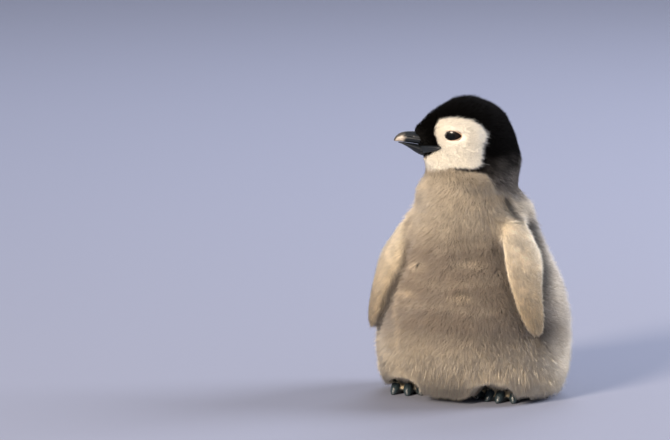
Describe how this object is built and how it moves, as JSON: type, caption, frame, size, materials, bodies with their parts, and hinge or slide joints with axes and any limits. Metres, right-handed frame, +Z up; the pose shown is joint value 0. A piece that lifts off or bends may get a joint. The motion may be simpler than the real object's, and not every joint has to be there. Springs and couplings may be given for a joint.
{
  "type": "emperor penguin chick",
  "caption": "Life-size still model of a downy emperor penguin chick, standing with its head turned to its right and its flippers hanging at its sides.",
  "frame": {"origin": "on the floor, under the middle of the box round the whole chick", "axes": "+Z up; the chick's body faces -Y; its left side is +X; its head is turned to its right, towards -X"},
  "size_m": [0.2526, 0.2436, 0.3801],
  "materials": {
    "grey_down": "soft grey-brown down",
    "black_down": "short black plumes with a cream-white face patch",
    "pale_down": "short pale down, lying flat",
    "bill_horn": "dark satin horn with a pale tip",
    "eye": "wet dark brown",
    "foot_skin": "dark scaly skin with pale rims",
    "claw_horn": "blue-black satin horn"
  },
  "bodies": {
    "root": {"head": "black_down", "neck": "grey_down", "trunk": "grey_down", "tail": "grey_down", "flipper_left": "pale_down", "flipper_right": "pale_down", "leg_left": "grey_down", "leg_right": "grey_down", "foot_left": "foot_skin", "foot_right": "foot_skin", "toe_left_inner": "foot_skin", "toe_left_middle": "foot_skin", "toe_left_outer": "foot_skin", "toe_left_hind": "foot_skin", "toe_right_inner": "foot_skin", "toe_right_middle": "foot_skin", "toe_right_outer": "foot_skin", "toe_right_hind": "foot_skin", "claw_left_inner": "claw_horn", "claw_left_middle": "claw_horn", "claw_left_outer": "claw_horn", "claw_left_hind": "claw_horn", "claw_right_inner": "claw_horn", "claw_right_middle": "claw_horn", "claw_right_outer": "claw_horn", "claw_right_hind": "claw_horn", "bill_upper": "bill_horn", "bill_lower": "bill_horn", "eye_left": "eye", "eye_right": "eye"}
  },
  "joints": []
}
